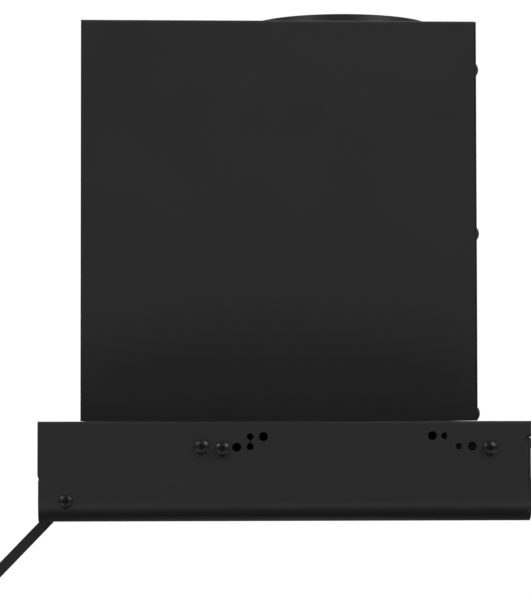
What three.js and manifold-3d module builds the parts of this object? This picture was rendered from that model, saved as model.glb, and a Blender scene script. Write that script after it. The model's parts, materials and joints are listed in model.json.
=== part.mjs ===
// Built-in range hood: folded canopy, blower housing, outlet collar and a fold-down smoke visor.
// Millimetres. +X across the width, +Y towards the wall, +Z up, origin at the centre of the
// canopy's bottom plane.
import * as THREE from 'three';
import { mergeVertices } from 'three/addons/utils/BufferGeometryUtils.js';
import Module from 'manifold-3d';

const wasm = await Module();
wasm.setup();

const GAP = 0.3;
const SHEET = 1.0;

// Canopy: the wide folded tray that fills the cabinet bay.
const CANOPY_W = 520;
const CANOPY_D = 296;
const CANOPY_H = 60;
const SKIRT_ROLL_R = 12;
const SKIRT_LIP_X = 246.8;
const DECK_BEND_R = 2;
const HX = CANOPY_W / 2;
const HY = CANOPY_D / 2;

// Front: upper wall fixed to the canopy, lower wall is the control strip.
const FRONT_SPLIT_Z = 25.6;
const STRIP_SETBACK = 0.4;
const STRIP_BOTTOM_Z = 2.2;
const STRIP_HALF_X = 246.5;

// Rear closing panel.
const REAR_PANEL_TOP = 50;
const REAR_SEAM_Y = 146;

// Blower housing on top of the canopy.
const BOX_W = 320;
const BOX_Y0 = -124.5;
const BOX_Y1 = 127.6;
const BOX_TOP = 315.6;
const BOX_FOOT = CANOPY_H + GAP;
const BX = BOX_W / 2;
const COVER_SCREW_X = 149;
const COVER_SCREW_Z = [65, 180, 285.5];

// Outlet collar for 125 mm duct.
const COLLAR_Y = 51.6;
const COLLAR_R = 62.5;
const COLLAR_BORE_R = 60.5;
const COLLAR_TOP = BOX_TOP + 18.4;
const COLLAR_FOOT = BOX_TOP - 11;
const FLAP_Z = BOX_TOP - 4;
const FLAP_HINGE_OFFSET = 3.6;

// Centrifugal blower, shaft along X.
const BLOWER_Y = 4;
const BLOWER_Z = 172;
const SCROLL_HALF_X = 75;
const SCROLL_R0 = 84;
const SCROLL_R1 = 118;
const WHEEL_R = 78;
const WHEEL_EYE_R = 64;
const WHEEL_HALF_X = 65;
const BLADES = 22;
const SHAFT_R = 4;

// Smoke visor on pivots near the front lower corner.
const PIVOT_Y = -131.2;
const PIVOT_Z = 12;
const VISOR_T = 6.4;
const VISOR_L = 265;
const VISOR_HALF_X = 245.5;
const VISOR_OPEN_DEG = 134;

// Suction frame and grease filters.
const FRAME_HALF_X = 257;
const FILTER_X = 120;
const FILTER_W = 235;
const FILTER_Y0 = -98.9;
const FILTER_Y1 = 127.5;
const FILTER_Z0 = 21.4;
const FILTER_Z1 = 31.2;
const LAMP_X = 170;
const LAMP_Y = -117;

// Push-buttons.
const BUTTON_X = [66, 88, 110, 132, 154];
const BUTTON_Z = 18.5;

// Fixing points on each side skirt: [y, z].
const SIDE_SCREWS = [[-50.2, 44.4], [-37.7, 43.2], [122.9, 43.4]];
const BIG_HOLES = [[-29.2, 44.5], [-13.1, 50.8], [88.3, 51.3], [112.3, 44.9]];
const SMALL_HOLES = [[-21.1, 44.9], [-21.1, 50.8], [95.7, 51.1], [104.1, 44.9]];
const SLIT = { y: -21.1, z0: 44.9, z1: 50.8, w: 0.8 };
const DIMPLE = { y: -68.1, z: 25.9, r: 6.3 };
const RAIL_WINDOW = [-33, 96.7];

// Solid helpers.
function solid(geometry) {
  const g = geometry.clone();
  g.deleteAttribute('normal');
  g.deleteAttribute('uv');
  const m = mergeVertices(g, 1e-4);
  return new wasm.Manifold(new wasm.Mesh({
    numProp: 3,
    vertProperties: new Float32Array(m.attributes.position.array),
    triVerts: new Uint32Array(m.index.array),
  }));
}

function box(x0, x1, y0, y1, z0, z1) {
  const g = new THREE.BoxGeometry(x1 - x0, y1 - y0, z1 - z0);
  g.translate((x0 + x1) / 2, (y0 + y1) / 2, (z0 + z1) / 2);
  return solid(g);
}

function join(list) {
  return list.reduce((a, b) => a.add(b));
}

function cut(body, list) {
  return list.reduce((a, b) => a.subtract(b), body);
}

// Cylinders along each axis, between two stations.
function rodX(r, x0, x1, y, z, seg = 24) {
  const g = new THREE.CylinderGeometry(r, r, x1 - x0, seg);
  g.rotateZ(Math.PI / 2);
  g.translate((x0 + x1) / 2, y, z);
  return solid(g);
}

function rodZ(r, z0, z1, x, y, seg = 24) {
  const g = new THREE.CylinderGeometry(r, r, z1 - z0, seg);
  g.rotateX(Math.PI / 2);
  g.translate(x, y, (z0 + z1) / 2);
  return solid(g);
}

function rodY(r, y0, y1, x, z, seg = 24) {
  const g = new THREE.CylinderGeometry(r, r, y1 - y0, seg);
  g.translate(x, (y0 + y1) / 2, z);
  return solid(g);
}

function extrude(points, depth) {
  const shape = new THREE.Shape(points.map(([a, b]) => new THREE.Vector2(a, b)));
  return new THREE.ExtrudeGeometry(shape, { depth, bevelEnabled: false, curveSegments: 1 });
}

// Prisms: the outline is given in the two axes across the prism.
function prismX(yz, x0, x1) {
  const g = extrude(yz, x1 - x0);
  const basis = new THREE.Matrix4().makeBasis(
    new THREE.Vector3(0, 1, 0), new THREE.Vector3(0, 0, 1), new THREE.Vector3(1, 0, 0));
  g.applyMatrix4(basis);
  g.translate(x0, 0, 0);
  return solid(g);
}

function prismY(xz, y0, y1) {
  const g = extrude(xz, y1 - y0);
  g.rotateX(Math.PI / 2);
  g.translate(0, y1, 0);
  return solid(g);
}

function prismZ(xy, z0, z1) {
  const g = extrude(xy, z1 - z0);
  g.translate(0, 0, z0);
  return solid(g);
}

// Turned solid about +Z from an anticlockwise [radius, z] outline that touches the axis or closes.
function turned(outline, seg = 32) {
  const pts = outline.map(([r, z]) => new THREE.Vector2(r, z));
  const g = new THREE.LatheGeometry(pts, seg);
  g.rotateX(Math.PI / 2);
  return solid(g);
}

function roundRect(cx, cy, w, h, r, seg = 4) {
  const pts = [];
  const corners = [[1, 1, 0], [-1, 1, 90], [-1, -1, 180], [1, -1, 270]];
  for (const [sx, sy, start] of corners) {
    for (let i = 0; i <= seg; i += 1) {
      const a = THREE.MathUtils.degToRad(start + (90 * i) / seg);
      const px = cx + sx * (w / 2 - r) + r * Math.cos(a);
      const py = cy + sy * (h / 2 - r) + r * Math.sin(a);
      pts.push([px, py]);
    }
  }
  return pts;
}

// Replace each inner corner of a path by an arc.
function bend(path, radii, seg = 4) {
  const out = [path[0]];
  for (let i = 1; i < path.length - 1; i += 1) {
    const r = Array.isArray(radii) ? radii[i - 1] : radii;
    const p = new THREE.Vector2(...path[i]);
    const a = new THREE.Vector2(...path[i - 1]).sub(p).normalize();
    const b = new THREE.Vector2(...path[i + 1]).sub(p).normalize();
    const half = Math.acos(THREE.MathUtils.clamp(a.dot(b), -1, 1)) / 2;
    const centre = a.clone().add(b).normalize().multiplyScalar(r / Math.sin(half)).add(p);
    const t0 = a.clone().multiplyScalar(r / Math.tan(half)).add(p).sub(centre);
    const t1 = b.clone().multiplyScalar(r / Math.tan(half)).add(p).sub(centre);
    const turn = Math.atan2(t0.cross(t1), t0.dot(t1));
    for (let k = 0; k <= seg; k += 1) {
      const v = t0.clone().rotateAround(new THREE.Vector2(), (turn * k) / seg).add(centre);
      out.push([v.x, v.y]);
    }
  }
  out.push(path[path.length - 1]);
  return out;
}

// Closed section of a folded sheet: the path is one face, the sheet lies to its left (t > 0).
function sheet(path, t) {
  const n = path.length;
  const normals = [];
  for (let i = 0; i < n - 1; i += 1) {
    const dx = path[i + 1][0] - path[i][0];
    const dy = path[i + 1][1] - path[i][1];
    const len = Math.hypot(dx, dy);
    normals.push([-dy / len, dx / len]);
  }
  const back = path.map(([x, y], i) => {
    const a = normals[Math.max(i - 1, 0)];
    const b = normals[Math.min(i, n - 2)];
    const k = t / (1 + a[0] * b[0] + a[1] * b[1]);
    return [x + (a[0] + b[0]) * k, y + (a[1] + b[1]) * k];
  });
  return path.concat(back.reverse());
}

const hood = new THREE.Group();
hood.name = 'range_hood';

function add(name, body, color, roughness = 0.5, metalness = 0.0) {
  const m = body.getMesh();
  const g = new THREE.BufferGeometry();
  g.setAttribute('position', new THREE.BufferAttribute(new Float32Array(m.vertProperties), 3));
  g.setIndex(new THREE.BufferAttribute(new Uint32Array(m.triVerts), 1));
  g.computeVertexNormals();
  const mesh = new THREE.Mesh(g, new THREE.MeshStandardMaterial({ color, roughness, metalness }));
  mesh.name = name;
  hood.add(mesh);
}

// Pan-head cross-recess screw pointing up +Z, head underside at z = 0.
function panScrew(headR, headH, shankR, shankL) {
  const body = turned([
    [0, -shankL], [shankR, -shankL], [shankR, 0], [headR, 0],
    [headR, headH * 0.4], [headR * 0.7, headH * 0.9], [headR * 0.3, headH], [0, headH],
  ], 12);
  const slot = headR * 0.62;
  return cut(body, [
    box(-slot, slot, -0.45, 0.45, headH * 0.45, headH + 1),
    box(-0.45, 0.45, -slot, slot, headH * 0.45, headH + 1),
  ]);
}

function screwAlongX(side, x, y, z, headR, headH, shankR, shankL) {
  return panScrew(headR, headH, shankR, shankL).rotate([0, side * 90, 0]).translate([x, y, z]);
}

// Outside line of the canopy's section: rolled lip, skirt, deck, skirt, rolled lip.
function canopyOutline() {
  return bend([
    [SKIRT_LIP_X, 0], [HX, 0], [HX, CANOPY_H], [-HX, CANOPY_H], [-HX, 0], [-SKIRT_LIP_X, 0],
  ], [SKIRT_ROLL_R, DECK_BEND_R, DECK_BEND_R, SKIRT_ROLL_R], 8);
}

// Canopy shell: deck, two side skirts with rolled lips, upper front wall, rear turn-down.
function canopyShell() {
  let body = prismY(sheet(canopyOutline(), SHEET), -HY, HY);
  const envelope = prismY(canopyOutline(), -HY, HY);
  const inX = HX - SHEET / 2;
  body = join([
    body,
    box(-inX, inX, -HY, -HY + SHEET, FRONT_SPLIT_Z, CANOPY_H - SHEET / 2),
    box(-inX, inX, HY - SHEET, HY, REAR_PANEL_TOP + GAP, CANOPY_H - SHEET / 2),
  ]);
  const stripFace = -HY + STRIP_SETBACK;
  body = body.subtract(box(-HX - 1, HX + 1, -HY - 1, stripFace, -1, FRONT_SPLIT_Z));
  for (const s of [-1, 1]) {
    const xs = [s * (STRIP_HALF_X + GAP), s * HX].sort((a, b) => a - b);
    const corner = box(xs[0], xs[1], stripFace, stripFace + SHEET, 0, FRONT_SPLIT_Z + 0.5);
    body = body.add(corner.intersect(envelope));
    const dimple = new THREE.CylinderGeometry(DIMPLE.r - 2.9, DIMPLE.r, 1, 20);
    dimple.rotateZ(-s * Math.PI / 2);
    dimple.translate(s * HX, DIMPLE.y, DIMPLE.z);
    body = body.add(solid(dimple));
  }
  const through = [-HX - 2, HX + 2];
  const tools = [
    box(-148, 148, -111, 118, CANOPY_H - 2, CANOPY_H + 1),
    box(-HX - 1, HX + 1, REAR_SEAM_Y, HY + 1, -1, REAR_PANEL_TOP + GAP),
    rodX(1.4, ...through, REAR_SEAM_Y, REAR_PANEL_TOP + GAP, 12),
    rodX(2.2, ...through, PIVOT_Y, PIVOT_Z, 12),
    box(...through, SLIT.y - SLIT.w / 2, SLIT.y + SLIT.w / 2, SLIT.z0, SLIT.z1),
    prismX([
      [-HY - 1, FRONT_SPLIT_Z + 5.2], [-HY - 1, FRONT_SPLIT_Z - 5.2], [-HY + 0.8, FRONT_SPLIT_Z],
    ], ...through),
  ];
  SIDE_SCREWS.forEach(([y, z]) => tools.push(rodX(2.2, ...through, y, z, 10)));
  BIG_HOLES.forEach(([y, z]) => tools.push(rodX(2.75, ...through, y, z, 24)));
  SMALL_HOLES.forEach(([y, z]) => tools.push(rodX(2.1, ...through, y, z, 20)));
  return cut(body, tools);
}

// Rear panel: wall with returned sides, inner tabs and a bottom lip.
function canopyRearPanel() {
  const z0 = 2;
  const y0 = REAR_SEAM_Y + 0.35;
  const section = [
    [136, z0 - 1], [HY, z0 - 1], [HY, REAR_PANEL_TOP],
    [HY - SHEET, REAR_PANEL_TOP], [HY - SHEET, z0], [136, z0],
  ];
  let body = prismX(section, -SKIRT_LIP_X, SKIRT_LIP_X);
  const wall = box(-HX, HX, HY - SHEET, HY, 0, REAR_PANEL_TOP);
  body = body.add(wall.intersect(prismY(canopyOutline(), -HY, HY)));
  const skin = prismY(sheet(canopyOutline(), SHEET), y0, HY);
  body = body.add(skin.intersect(box(-HX - 1, HX + 1, y0, HY, -1, REAR_PANEL_TOP)));
  for (const s of [-1, 1]) {
    const foot = [s * (SKIRT_LIP_X - 3), s * (SKIRT_LIP_X + 2)].sort((a, b) => a - b);
    body = body.add(box(...foot, y0, HY, 0.3, z0 - 0.3));
    const tab = [s * (HX - 2.4), s * (HX - 1.3)].sort((a, b) => a - b);
    body = body.add(box(...tab, 129, HY, 12, REAR_PANEL_TOP));
    body = body.add(box(...tab, 129, HY - SHEET - GAP, 12, REAR_PANEL_TOP + 6));
    const notch = [s * (HX - 2.9), s * (HX + 1)].sort((a, b) => a - b);
    body = body.subtract(box(...notch, HY - 0.9, HY + 1, 25.5, 43.5));
  }
  const upstand = HX - 3.2;
  return join([
    body,
    box(-upstand, upstand, HY - 2.3, HY - SHEET / 2, 44.5, REAR_PANEL_TOP),
    box(-upstand, upstand, HY - 2.3, HY - SHEET - GAP, 44.5, REAR_PANEL_TOP + 6),
  ]);
}

// Side rail: angle behind each skirt that carries the suction frame.
function sideRail(s) {
  const span = (a, b) => [s * a, s * b].sort((p, q) => p - q);
  let body = box(...span(257.5, 258.7), -130, 127.5, 32.8, 56);
  body = body.add(box(...span(240, 258), -130, 127.5, 32.8, 34));
  const tools = [box(...span(256, 260), ...RAIL_WINDOW, 36, 57)];
  SIDE_SCREWS.forEach(([y, z]) => tools.push(rodX(2.2, ...span(256, 260), y, z, 10)));
  [SMALL_HOLES[3], BIG_HOLES[3]].forEach(([y, z]) => tools.push(rodX(3, ...span(256, 260), y, z, 12)));
  return cut(body, tools);
}

// Suction frame: folded plate with the lamp panel, filter openings and the rear filter lip.
function suctionFrame() {
  const path = bend([
    [-134.5, 40], [-134.5, 21], [-99.5, 21], [-99.5, 31.5], [134, 31.5], [134, 40],
  ], [1.6, 0.6, 0.5, 0.6], 3);
  let body = prismX(sheet(path, SHEET), -FRAME_HALF_X, FRAME_HALF_X);
  body = join([
    body,
    box(-FRAME_HALF_X, FRAME_HALF_X, 128, 129, 20, 31.8),
    box(-FRAME_HALF_X, FRAME_HALF_X, 121, 129, 20, 21),
  ]);
  const tools = [];
  for (const s of [-1, 1]) {
    const x = s * FILTER_X;
    tools.push(prismZ(roundRect(x, 14.3, 203, 190, 6), 30, 34));
    tools.push(box(x - 10.6, x + 10.6, -102, -98, 22.4, 25.2));
    tools.push(rodZ(13, 20, 24, s * LAMP_X, LAMP_Y, 32));
  }
  return cut(body, tools);
}

// Grease filter frame with a T-slot for its latch.
function filterFrame(x) {
  const x0 = x - FILTER_W / 2;
  const x1 = x + FILTER_W / 2;
  const yMid = (FILTER_Y0 + FILTER_Y1) / 2;
  const outline = roundRect(x, yMid, FILTER_W, FILTER_Y1 - FILTER_Y0, 3, 3);
  const body = prismZ(outline, FILTER_Z0, FILTER_Z1);
  return cut(body, [
    box(x0 + 20, x1 - 20, FILTER_Y0 + 20, FILTER_Y1 - 20, FILTER_Z0 - 1, FILTER_Z1 + 1),
    box(x0 + 15, x1 - 15, FILTER_Y0 + 15 + 5, FILTER_Y1 - 15, FILTER_Z0 + 1.6, FILTER_Z1 + 1),
    box(x - 18.3, x + 18.3, FILTER_Y0 - 1, FILTER_Y0 + 18.5, 22.1, 25.4),
    box(x - 13, x + 13, FILTER_Y0 - 1, FILTER_Y0 + 18.5, FILTER_Z0 - 1, 22.5),
  ]);
}

// Pleated filter medium.
function filterMesh(x) {
  const half = FILTER_W / 2 - 15 - GAP;
  const zLow = FILTER_Z0 + 2.2;
  const zHigh = FILTER_Z1 - 1.6;
  const pleats = 17;
  const step = (2 * half) / (pleats * 2);
  const path = [];
  for (let i = 0; i <= pleats * 2; i += 1) {
    path.push([x - half + i * step, i % 2 === 0 ? zLow : zHigh]);
  }
  const y0 = FILTER_Y0 + 20 + GAP;
  const y1 = FILTER_Y1 - 15 - GAP;
  const body = prismY(sheet(path, 0.9), y0, y1);
  return body.intersect(box(x - half, x + half, y0, y1, 20, 40));
}

function filterLatch(x) {
  return join([
    box(x - 18, x + 18, -97, -85, 22.4, 25.1),
    box(x - 10, x + 10, -103, -96, 22.7, 24.9),
    box(x - 8, x + 8, -95, -91, 19, 22.8),
  ]);
}

function lampBody(s) {
  const body = rodZ(15.5, 22.3, 32, s * LAMP_X, LAMP_Y, 32);
  return body.subtract(rodZ(13, 22, 24.8, s * LAMP_X, LAMP_Y, 32));
}

function lampLens(s) {
  return turned([[0, 20.3], [11.6, 20.3], [12.7, 21.2], [12.7, 24.5], [0, 24.5]], 32)
    .translate([s * LAMP_X, LAMP_Y, 0]);
}

// Control strip: lower front wall with a top flange and the button holes.
function controlStrip() {
  const face = -HY + STRIP_SETBACK;
  const path = bend([
    [face, STRIP_BOTTOM_Z], [face, FRONT_SPLIT_Z - GAP], [-134.8, FRONT_SPLIT_Z - GAP],
  ], [1.5], 3);
  const body = prismX(sheet(path, -SHEET), -STRIP_HALF_X, STRIP_HALF_X);
  const tools = BUTTON_X.map((x) => (
    prismY(roundRect(x, BUTTON_Z, 12.7, 6.7, 1.7, 3), face - 1, face + 1.5)));
  return cut(body, tools);
}

function switchBlock() {
  const front = -HY + STRIP_SETBACK + SHEET + GAP;
  const body = box(BUTTON_X[0] - 14, BUTTON_X[4] + 14, front, -137.2, 12.6, 24);
  const tools = BUTTON_X.map((x) => (
    box(x - 7.6, x + 7.6, front - 1, front + 3.6, BUTTON_Z - 4.4, BUTTON_Z + 4.4)));
  return cut(body, tools);
}

function pushButton(x) {
  const flange = -HY + STRIP_SETBACK + SHEET + GAP;
  return join([
    prismY(roundRect(x, BUTTON_Z, 12, 6, 1.4, 4), flange - 3.1, flange + 1),
    box(x - 7.2, x + 7.2, flange, flange + 1, BUTTON_Z - 4.1, BUTTON_Z + 4.1),
  ]);
}

// Visor parts are laid out level, pointing +Y from the pivot, then turned to the open pose.
function openVisor(body) {
  return body.rotate([-VISOR_OPEN_DEG, 0, 0]).translate([0, PIVOT_Y, PIVOT_Z]);
}

function visorFrame() {
  const r = VISOR_T / 2;
  const edge = bend([
    [VISOR_L - 9, -r], [VISOR_L, -r], [VISOR_L, r], [VISOR_L - 9, r],
  ], [1.4, 1.4], 3);
  const outline = [];
  for (let i = 0; i <= 12; i += 1) {
    const a = Math.PI / 2 + (Math.PI * i) / 12;
    outline.push([r * Math.cos(a), r * Math.sin(a)]);
  }
  outline.push(...edge);
  const grip = bend([
    [VISOR_L - 12, -r + 0.5], [VISOR_L - 10, -r - 5], [VISOR_L - 3, -r - 5], [VISOR_L - 1.8, -r + 0.5],
  ], [1.5, 1.5], 3);
  const body = join([
    prismX(outline, -VISOR_HALF_X, VISOR_HALF_X),
    prismX(grip, -62, 62),
  ]);
  return openVisor(cut(body, [
    box(-219.5, 219.5, 30, VISOR_L - 27, -r - 1, r + 1),
    box(-225, 225, 24.5, VISOR_L - 21.5, -0.9, r + 1),
    rodX(2.1, VISOR_HALF_X - 14, VISOR_HALF_X + 1, 0, 0, 24),
    rodX(2.1, -VISOR_HALF_X - 1, -VISOR_HALF_X + 14, 0, 0, 24),
  ]));
}

function visorGlass() {
  return openVisor(box(-224.7, 224.7, 24.8, VISOR_L - 21.8, -0.6, VISOR_T / 2 - 0.2));
}

function pivotBush(s) {
  const xs = [s * (VISOR_HALF_X + GAP), s * (HX - SHEET - 1.3)].sort((a, b) => a - b);
  const bush = rodX(4.4, ...xs, PIVOT_Y, PIVOT_Z, 24);
  return bush.subtract(rodX(2.3, xs[0] - 1, xs[1] + 1, PIVOT_Y, PIVOT_Z, 24));
}

// Blower housing: wrapped top, sides and front with inner fixing flanges.
function motorHousing() {
  const y1 = BOX_Y1 - SHEET - GAP;
  const outer = bend([
    [BX, BOX_FOOT], [BX, BOX_TOP], [-BX, BOX_TOP], [-BX, BOX_FOOT],
  ], [2.5, 2.5], 4);
  const inner = BX - SHEET / 2;
  const h = 0.5;
  const body = join([
    prismY(sheet(outer, SHEET), BOX_Y0, y1),
    box(-inner, inner, BOX_Y0, BOX_Y0 + SHEET, BOX_FOOT, BOX_TOP - h),
    box(BX - 12, inner, BOX_Y0 + h, y1, BOX_FOOT, BOX_FOOT + SHEET),
    box(-inner, 12 - BX, BOX_Y0 + h, y1, BOX_FOOT, BOX_FOOT + SHEET),
    box(-inner, inner, BOX_Y0 + h, BOX_Y0 + 12, BOX_FOOT, BOX_FOOT + SHEET),
    box(BX - 19, inner, y1 - SHEET, y1, BOX_FOOT, BOX_TOP - h),
    box(-inner, 19 - BX, y1 - SHEET, y1, BOX_FOOT, BOX_TOP - h),
    box(-inner, inner, y1 - SHEET, y1, BOX_TOP - 10, BOX_TOP - h),
  ]);
  const tools = [rodZ(COLLAR_R + 0.3, BOX_TOP - 3, BOX_TOP + 1, 0, COLLAR_Y, 40)];
  for (const z of COVER_SCREW_Z) {
    tools.push(rodY(1.9, y1 - 3, y1 + 1, COVER_SCREW_X, z, 10));
    tools.push(rodY(1.9, y1 - 3, y1 + 1, -COVER_SCREW_X, z, 10));
  }
  return cut(body, tools);
}

function rearCover() {
  const y0 = BOX_Y1 - SHEET;
  const tools = [];
  for (const z of COVER_SCREW_Z) {
    tools.push(rodY(1.9, y0 - 1, y0 + 3, COVER_SCREW_X, z, 10));
    tools.push(rodY(1.9, y0 - 1, y0 + 3, -COVER_SCREW_X, z, 10));
  }
  return cut(box(-BX, BX, y0, BOX_Y1, BOX_FOOT, BOX_TOP - 0.4), tools);
}

// Scroll path: down the throat, round the tongue, out along the spiral, up the rear wall.
function scrollPath() {
  const top = BOX_TOP - SHEET - GAP;
  const throatY = COLLAR_Y - COLLAR_R - 2;
  const path = [[throatY, top], [throatY, top - 24], [BLOWER_Y + 3, BLOWER_Z + SCROLL_R0 + 1.5]];
  for (let a = 90; a <= 360; a += 15) {
    const r = SCROLL_R0 + ((SCROLL_R1 - SCROLL_R0) * (a - 90)) / 270;
    const t = THREE.MathUtils.degToRad(a);
    path.push([BLOWER_Y + r * Math.cos(t), BLOWER_Z + r * Math.sin(t)]);
  }
  path.push([BLOWER_Y + SCROLL_R1, top]);
  return path;
}

function scrollBand() {
  return prismX(sheet(scrollPath(), -SHEET), -SCROLL_HALF_X, SCROLL_HALF_X);
}

function scrollSide(s) {
  const xs = [s * (SCROLL_HALF_X + GAP), s * (SCROLL_HALF_X + GAP + SHEET)].sort((a, b) => a - b);
  const plate = prismX(scrollPath(), ...xs);
  const eye = rodX(66.8, xs[0] - 1, xs[1] + 1, BLOWER_Y, BLOWER_Z, 28);
  const bell = turned([
    [68, 0.3], [68, 1.7], [65.4, 2], [61.4, -1.6], [60.6, -8],
    [61.6, -8], [62.6, -2.4], [65.6, 0.3], [68, 0.3],
  ], 28);
  const out = bell.rotate([0, s * 90, 0]);
  const x = s * (SCROLL_HALF_X + GAP);
  return plate.subtract(eye).add(out.translate([x, BLOWER_Y, BLOWER_Z]));
}

// Double-inlet wheel: centre disc, forward-curved blades and two end rings.
function impeller() {
  const section = sheet([[WHEEL_EYE_R + 1, 0], [71.5, 4], [WHEEL_R - 1, 12]], 0.9);
  const pieces = [rodX(WHEEL_R - 1.5, -0.8, 0.8, 0, 0, 48), rodX(10, -12, 12, 0, 0, 24)];
  const one = prismX(section, -WHEEL_HALF_X + 1, WHEEL_HALF_X - 1);
  for (let i = 0; i < BLADES; i += 1) {
    pieces.push(one.rotate([(360 * i) / BLADES, 0, 0]));
  }
  for (const s of [-1, 1]) {
    const xs = [s * (WHEEL_HALF_X - 3), s * WHEEL_HALF_X].sort((a, b) => a - b);
    const ring = rodX(WHEEL_R + 1.8, ...xs, 0, 0, 48);
    pieces.push(ring.subtract(rodX(WHEEL_EYE_R + 2, xs[0] - 1, xs[1] + 1, 0, 0, 48)));
  }
  const body = join(pieces).subtract(rodX(SHAFT_R + GAP, -20, 20, 0, 0, 24));
  return body.translate([0, BLOWER_Y, BLOWER_Z]);
}

function motorBody() {
  const body = turned([
    [0, -77], [14, -77], [15, -70], [38, -68], [44, -62],
    [44, -24], [38, -18], [16, -16], [14, -13.5], [0, -13.5],
  ], 24);
  return body.rotate([0, 90, 0]).subtract(rodX(SHAFT_R + 0.09, -90, 0, 0, 0, 24))
    .translate([0, BLOWER_Y, BLOWER_Z]);
}

function motorBracket() {
  const arms = [30, 150, 270].map((a) => (
    box(-79.6, -77.6, -6, 6, 20, 82).rotate([a - 90, 0, 0])));
  const hub = rodX(34, -79.6, -77.6, 0, 0, 32);
  return cut(join([hub, ...arms]), [rodX(9, -85, -70, 0, 0, 24)])
    .translate([0, BLOWER_Y, BLOWER_Z]);
}

// Collar: duct spigot with a fixing flange, flap ledge and centre bar.
function outletCollar() {
  const body = turned([
    [COLLAR_BORE_R, COLLAR_FOOT], [COLLAR_R, COLLAR_FOOT], [COLLAR_R, BOX_TOP + GAP],
    [69, BOX_TOP + GAP], [69, BOX_TOP + 1.9], [COLLAR_R, BOX_TOP + 2.2],
    [COLLAR_R, COLLAR_TOP], [COLLAR_BORE_R, COLLAR_TOP],
    [COLLAR_BORE_R, FLAP_Z - 2], [58, FLAP_Z - 2], [58, FLAP_Z - 4], [COLLAR_BORE_R, FLAP_Z - 6],
    [COLLAR_BORE_R, COLLAR_FOOT],
  ], 40);
  const bar = box(-COLLAR_BORE_R - 1, COLLAR_BORE_R + 1, -1.4, 1.4, FLAP_Z - 5, FLAP_Z + 3);
  const pins = [-1, 1].map((s) => (
    rodX(1.35, -COLLAR_R - 1, COLLAR_R + 1, s * FLAP_HINGE_OFFSET, FLAP_Z, 12)));
  return cut(body.add(bar), pins).translate([0, COLLAR_Y, 0]);
}

// Half-round backdraught flap with hinge barrel; s = -1 front, +1 rear.
function damperFlap(s) {
  const yHinge = s * FLAP_HINGE_OFFSET;
  const disc = rodZ(59.4, FLAP_Z - 0.6, FLAP_Z + 0.6, 0, 0, 40);
  const ys = [yHinge, s * 70].sort((a, b) => a - b);
  const half = box(-70, 70, ...ys, FLAP_Z - 5, FLAP_Z + 5);
  return join([
    disc.intersect(half),
    rodX(1.6, -57, 57, yHinge, FLAP_Z, 12),
    rodX(1.2, -COLLAR_R + 0.4, COLLAR_R - 0.4, yHinge, FLAP_Z, 12),
  ]).translate([0, COLLAR_Y, 0]);
}

// Junction box on the left ledge: open tray, lid, gland and terminal block.
function junctionBox() {
  const outer = prismZ(roundRect(-212, 0, 74, 118, 4, 4), BOX_FOOT, 95);
  const inner = prismZ(roundRect(-212, 0, 70, 114, 2.5, 4), BOX_FOOT + 2, 96);
  return cut(outer, [inner, rodY(7.4, 50, 62, -212, 78, 24)]);
}

function junctionLid() {
  const lid = prismZ(roundRect(-212, 0, 74, 118, 4, 4), 95.3, 97.3);
  const skirt = prismZ(roundRect(-212, 0, 69.2, 113.2, 2.2, 4), 92, 95.5);
  const hollow = prismZ(roundRect(-212, 0, 66, 110, 1.5, 4), 91, 95.3);
  return join([lid, skirt]).subtract(hollow);
}

function cableGland() {
  const body = turned([
    [4, -8], [7, -8], [7, 0.3], [10.5, 0.3], [10.5, 5],
    [9, 5.6], [9, 13], [6.6, 16], [4, 16], [4, -8],
  ], 16);
  return body.rotate([-90, 0, 0]).translate([-212, 59.1, 78]);
}

function terminalBlock() {
  const base = box(-236, -188, -20, 0, 62.6, 72);
  const ways = [];
  for (let i = 0; i < 4; i += 1) {
    ways.push(box(-233 + i * 11.5, -224.5 + i * 11.5, -18, -2, 71, 80));
  }
  return join([base, ...ways]);
}

const PAINT = 0x3a3c3f;
const STEEL = 0xb9bdc1;
const BLACK_ZINC = 0x303235;
const ALUMINIUM = 0xc3c6c9;
const PLASTIC = 0x26272a;

add('canopy_shell', canopyShell(), PAINT, 0.55, 0.3);
add('canopy_rear_panel', canopyRearPanel(), PAINT, 0.55, 0.3);
add('side_rail_right', sideRail(1), PAINT, 0.55, 0.3);
add('side_rail_left', sideRail(-1), PAINT, 0.55, 0.3);
add('suction_frame', suctionFrame(), PAINT, 0.55, 0.3);
[['right', 1], ['left', -1]].forEach(([side, s]) => {
  const x = s * FILTER_X;
  add(`filter_frame_${side}`, filterFrame(x), ALUMINIUM, 0.4, 0.9);
  add(`filter_mesh_${side}`, filterMesh(x), ALUMINIUM, 0.5, 0.9);
  add(`filter_latch_${side}`, filterLatch(x), PLASTIC, 0.6, 0);
  add(`lamp_body_${side}`, lampBody(s), STEEL, 0.4, 0.9);
  add(`lamp_lens_${side}`, lampLens(s), 0xf2f2ea, 0.3, 0);
  add(`pivot_bush_${side}`, pivotBush(s), PLASTIC, 0.5, 0);
  const pivot = screwAlongX(s, s * (HX + GAP), PIVOT_Y, PIVOT_Z, 4, 2.2, 2, 26);
  add(`pivot_screw_${side}`, pivot, BLACK_ZINC, 0.4, 0.8);
  SIDE_SCREWS.forEach(([y, z], i) => {
    const screw = screwAlongX(s, s * (HX + GAP), y, z, 4.2, 2.4, 1.9, 8);
    add(`side_screw_${side}_${i + 1}`, screw, BLACK_ZINC, 0.4, 0.8);
  });
  COVER_SCREW_Z.forEach((z, i) => {
    const screw = panScrew(3.8, 2.4, 1.6, 7).rotate([-90, 0, 0])
      .translate([s * COVER_SCREW_X, BOX_Y1 + GAP, z]);
    add(`cover_screw_${side}_${i + 1}`, screw, BLACK_ZINC, 0.4, 0.8);
  });
});
add('control_strip', controlStrip(), PAINT, 0.5, 0.3);
add('switch_block', switchBlock(), PLASTIC, 0.6, 0);
BUTTON_X.forEach((x, i) => add(`button_${i + 1}`, pushButton(x), 0x8d9094, 0.4, 0.2));
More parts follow.
